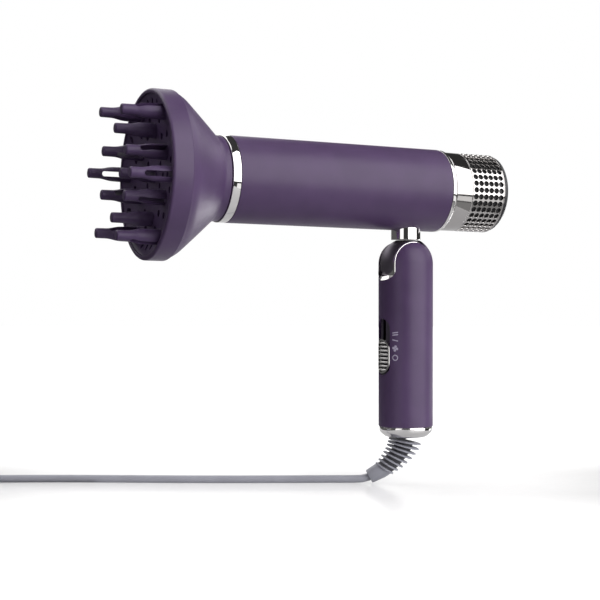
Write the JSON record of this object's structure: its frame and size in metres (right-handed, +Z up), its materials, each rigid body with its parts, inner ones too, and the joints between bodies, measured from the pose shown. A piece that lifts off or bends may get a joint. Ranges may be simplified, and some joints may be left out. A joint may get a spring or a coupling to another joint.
{
  "type": "folding hair dryer with diffuser",
  "caption": "Folding hair dryer with a pronged diffuser on its nozzle, a perforated rear filter cap, a slide switch and a mains cord.",
  "frame": {"origin": "the point where the barrel's axis crosses the handle's axis", "axes": "+X towards the rear filter along the barrel, -X out of the nozzle and diffuser, +Z up with the handle hanging down along -Z, +Y along the fold hinge's axis"},
  "size_m": [0.4372, 0.183, 0.2438],
  "materials": {
    "soft_purple": "soft-touch matt coating",
    "dark_purple": "matt moulded nylon",
    "chrome": "bright plated",
    "dark_chrome": "dark plated, polished",
    "steel": "plain",
    "black_plastic": "fine moulded texture",
    "mica": "mica sheet",
    "nichrome": "oxidised resistance wire",
    "brass": "plain",
    "circuit_green": "solder mask",
    "grey_rubber": "smooth matt"
  },
  "bodies": {
    "head": {"barrel_shell": "soft_purple", "nose_ring": "chrome", "nozzle_spigot": "black_plastic", "outlet_grille": "black_plastic", "heater_sleeve": "mica", "heater_boards": "mica", "front_heating_coil": "nichrome", "rear_heating_coil": "nichrome", "thermostat": "steel", "thermal_fuse": "brass", "motor_housing": "black_plastic", "motor_body": "steel", "rear_trim_ring": "chrome", "neck_stem": "chrome", "neck_clamp_plate": "steel", "hinge_knuckle": "dark_chrome", "cord_lead": "grey_rubber", "cord_coil": "grey_rubber", "cord_tail": "grey_rubber", "plug_body": "grey_rubber", "plug_pin_left": "brass", "plug_pin_right": "brass"},
    "fan": {"motor_shaft": "steel", "fan_impeller": "black_plastic"},
    "filter": {"filter_cap": "chrome", "filter_screen": "black_plastic", "rear_grille": "black_plastic"},
    "grip": {"diffuser_grip_ring": "grey_rubber"},
    "diffuser": {"diffuser_bowl": "soft_purple", "diffuser_plate": "dark_purple"},
    "handle": {"handle_shell": "soft_purple", "hinge_trim": "chrome", "near_hinge_pin": "steel", "far_hinge_pin": "steel", "hinge_bracket": "black_plastic", "detent_plunger": "brass", "detent_spring": "steel", "switch_tray": "black_plastic", "slide_switch": "black_plastic", "control_board": "circuit_green", "capacitor": "steel", "ion_generator": "black_plastic", "power_triac": "black_plastic", "end_cap": "chrome", "cord_clamp": "black_plastic", "strain_relief": "grey_rubber"},
    "switch": {"switch_slider": "chrome"}
  },
  "joints": [
    {"name": "handle_fold", "type": "hinge", "parent": "head", "child": "handle", "pos_m": [0, 0, -0.048], "axis": [0, 1, 0], "range_deg": [0, 80], "deforming": ["cord_lead"]},
    {"name": "switch_slide", "type": "slide", "parent": "handle", "child": "switch", "axis": [0, 0, 1], "range_m": [0, 0.013]},
    {"name": "fan_spin", "type": "hinge", "parent": "head", "child": "fan", "pos_m": [0, 0, 0], "axis": [0.9998, 0, -0.0204], "continuous": true},
    {"name": "diffuser_pull", "type": "slide", "parent": "head", "child": "grip", "axis": [-0.9998, 0, 0.0204], "range_m": [0, 0.04]},
    {"name": "diffuser_turn", "type": "hinge", "parent": "grip", "child": "diffuser", "pos_m": [0, 0, 0], "axis": [0.9998, 0, -0.0204], "continuous": true},
    {"name": "filter_pull", "type": "slide", "parent": "head", "child": "filter", "axis": [0.9998, 0, -0.0204], "range_m": [0, 0.035]}
  ]
}
